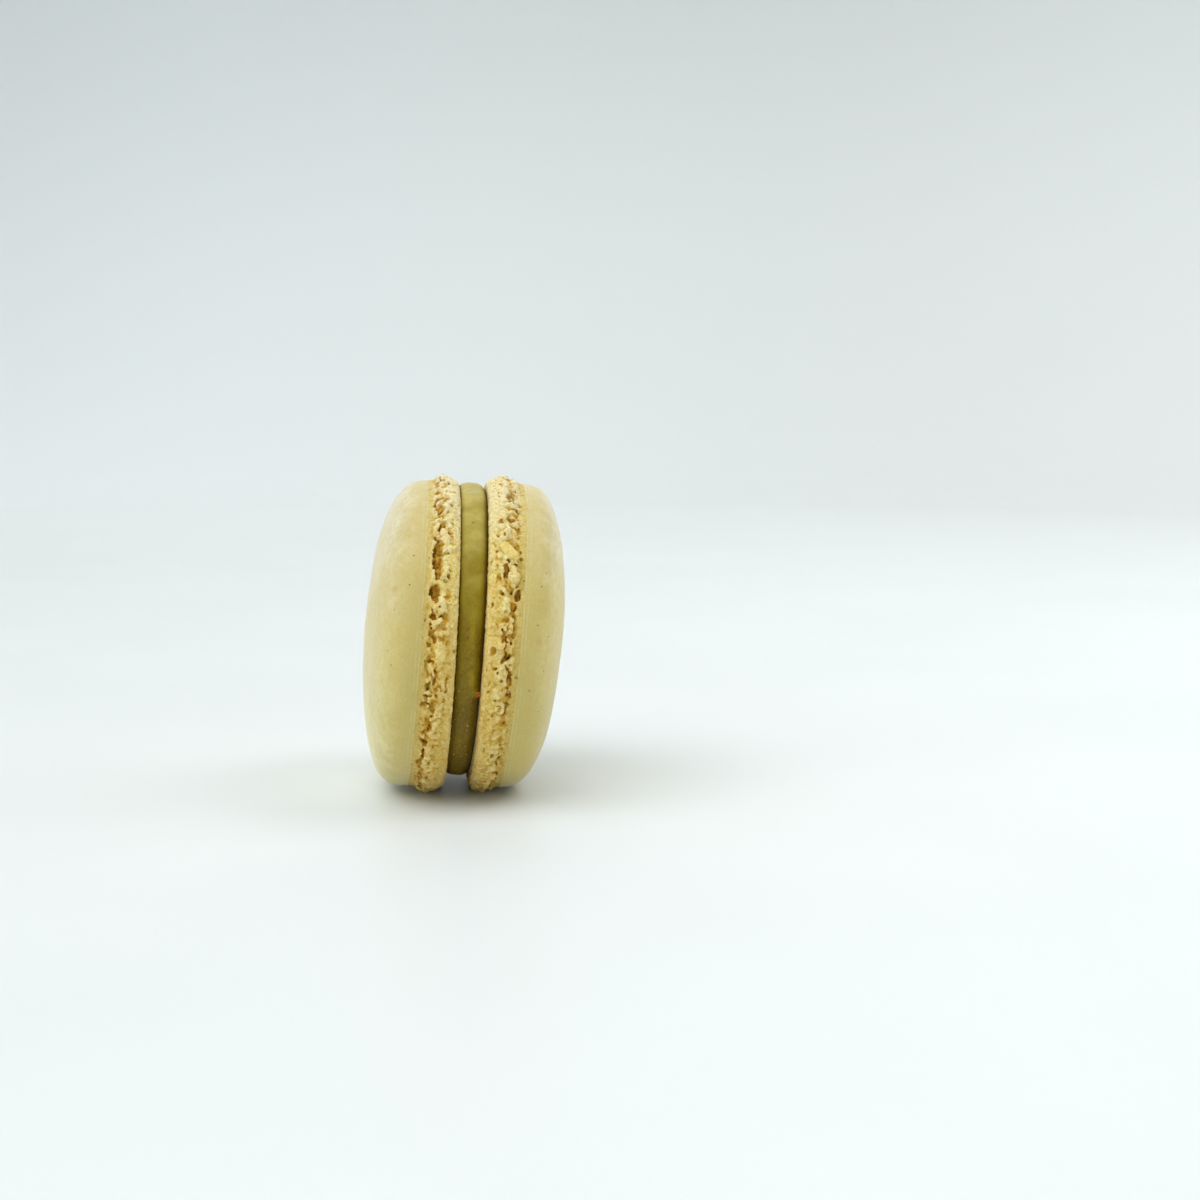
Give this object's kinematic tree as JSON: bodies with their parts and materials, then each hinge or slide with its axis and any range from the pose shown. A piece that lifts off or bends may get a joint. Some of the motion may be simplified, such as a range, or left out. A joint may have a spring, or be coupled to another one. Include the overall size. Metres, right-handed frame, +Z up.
{
  "type": "french macaron",
  "caption": "Round almond meringue sandwich biscuit: smooth domed shells with ruffled feet around a disc of ganache, standing on its rim.",
  "frame": {"origin": "under the middle of the macaron's box, on the plane it rests on", "axes": "+Z up, +X close to the macaron's own axis, from the left shell to the right shell, and +Y across, away from the side that is seen in front"},
  "size_m": [0.029, 0.0462, 0.0456],
  "materials": {
    "biscuit": "dry, fine-grained almond meringue: pale cream and faintly green on the dome, golden and crumbly on the foot, with a soft eggshell sheen",
    "filling": "smooth satin ganache, olive-gold, with a few fine brown specks"
  },
  "bodies": {
    "root": {"shell_left": "biscuit", "filling": "filling", "shell_right": "biscuit"}
  },
  "joints": []
}
